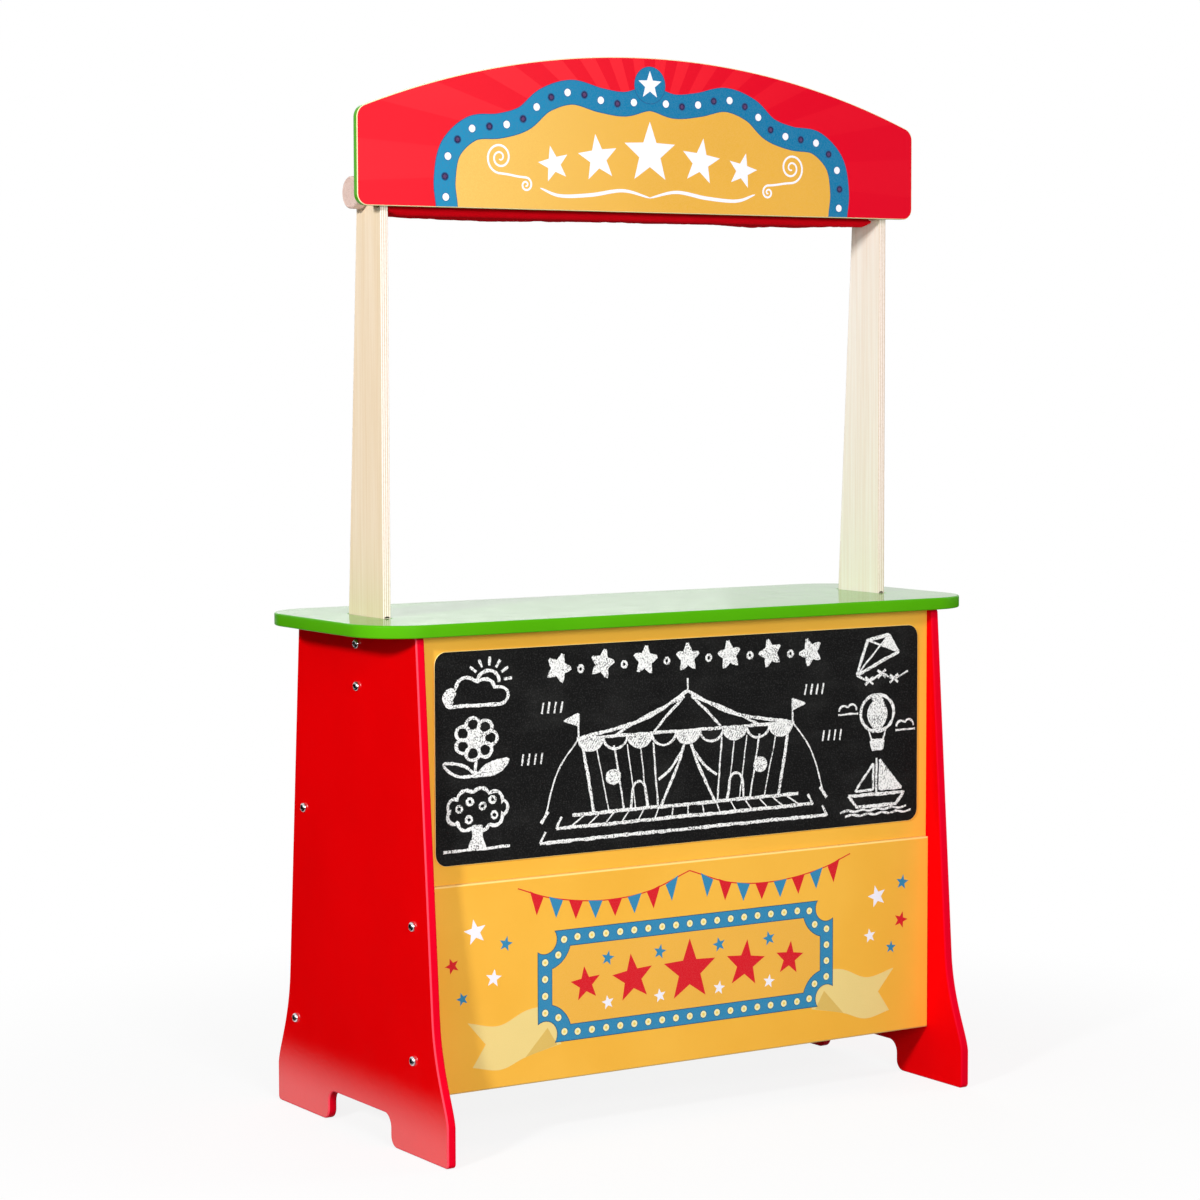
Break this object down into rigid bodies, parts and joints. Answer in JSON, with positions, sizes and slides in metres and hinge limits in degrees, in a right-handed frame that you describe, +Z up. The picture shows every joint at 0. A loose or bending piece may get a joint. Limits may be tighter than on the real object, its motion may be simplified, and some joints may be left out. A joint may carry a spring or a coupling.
{
  "type": "puppet theater stand",
  "caption": "Free-standing play stand with flared side panels, a rounded counter, chalkboard front, tall posts, an arched sign board and a roller curtain.",
  "frame": {"origin": "on the floor, midway between the side panels and midway along their feet", "axes": "+X to the viewer's right, +Y to the back where the player stands, +Z up"},
  "size_m": [0.784, 0.379, 1.15],
  "materials": {
    "red_lacquer": "board with satin red lacquer",
    "green_lacquer": "board with glossy green lacquer",
    "yellow_lacquer": "board with satin yellow lacquer",
    "sign_lacquer": "printed board with a satin red face and green edges and back",
    "chalkboard_face": "matte black chalkboard paint",
    "birch_plywood": "clear lacquered birch plywood",
    "pine": "planed pine",
    "beech": "turned beech, plain",
    "curtain_cloth": "deep red velvety cloth",
    "zinc_steel": "bright zinc-plated steel",
    "bronze_finish": "dark bronze plating"
  },
  "bodies": {
    "stand": {"left_side_panel": "red_lacquer", "right_side_panel": "red_lacquer", "counter_top": "green_lacquer", "upper_front_panel": "yellow_lacquer", "lower_front_panel": "yellow_lacquer", "chalkboard": "chalkboard_face", "bottom_shelf": "birch_plywood", "middle_shelf": "birch_plywood", "left_post": "birch_plywood", "right_post": "birch_plywood", "header_board": "sign_lacquer", "header_batten": "pine", "counter_batten": "pine", "left_panel_cleat": "pine", "right_panel_cleat": "pine", "left_post_bolt_1": "zinc_steel", "left_post_bolt_2": "zinc_steel", "left_panel_1_bolt": "zinc_steel", "left_panel_2_bolt": "zinc_steel", "left_bottom_shelf_bolt": "zinc_steel", "left_middle_shelf_bolt": "zinc_steel", "right_post_bolt_1": "zinc_steel", "right_post_bolt_2": "zinc_steel", "right_panel_1_bolt": "zinc_steel", "right_panel_2_bolt": "zinc_steel", "right_bottom_shelf_bolt": "zinc_steel", "right_middle_shelf_bolt": "zinc_steel", "left_post_nut_1": "zinc_steel", "left_post_nut_2": "zinc_steel", "right_post_nut_1": "zinc_steel", "right_post_nut_2": "zinc_steel", "left_panel_1_barrel_nut": "zinc_steel", "left_panel_2_barrel_nut": "zinc_steel", "left_bottom_shelf_barrel_nut": "zinc_steel", "left_middle_shelf_barrel_nut": "zinc_steel", "right_panel_1_barrel_nut": "zinc_steel", "right_panel_2_barrel_nut": "zinc_steel", "right_bottom_shelf_barrel_nut": "zinc_steel", "right_middle_shelf_barrel_nut": "zinc_steel", "left_counter_screw": "zinc_steel", "right_counter_screw": "zinc_steel", "left_header_screw": "zinc_steel", "right_header_screw": "zinc_steel", "left_header_bolt": "bronze_finish", "right_header_bolt": "bronze_finish", "left_bottom_shelf_dowel": "beech", "left_middle_shelf_dowel": "beech", "right_bottom_shelf_dowel": "beech", "right_middle_shelf_dowel": "beech", "left_counter_dowel_1": "beech", "left_counter_dowel_2": "beech", "right_counter_dowel_1": "beech", "right_counter_dowel_2": "beech"},
    "roller": {"curtain_roller": "beech", "left_knob": "beech", "right_knob": "beech", "curtain_roll": "curtain_cloth"},
    "curtain_end": {"curtain_sheet": "curtain_cloth", "curtain_hem": "curtain_cloth", "hem_bar": "beech"}
  },
  "joints": [
    {"name": "roller_turn", "type": "hinge", "parent": "stand", "child": "roller", "pos_m": [0, -0.005, 0.9983], "axis": [1, 0, 0], "range_deg": [0, 1280]},
    {"name": "curtain_drop", "type": "slide", "parent": "stand", "child": "curtain_end", "axis": [0, 0, -1], "range_m": [0, 0.418], "deforming": ["curtain_sheet"]}
  ],
  "couplings": [
    {"joint": "curtain_drop", "follows": "roller_turn", "m_per_rad": 0.0187}
  ]
}
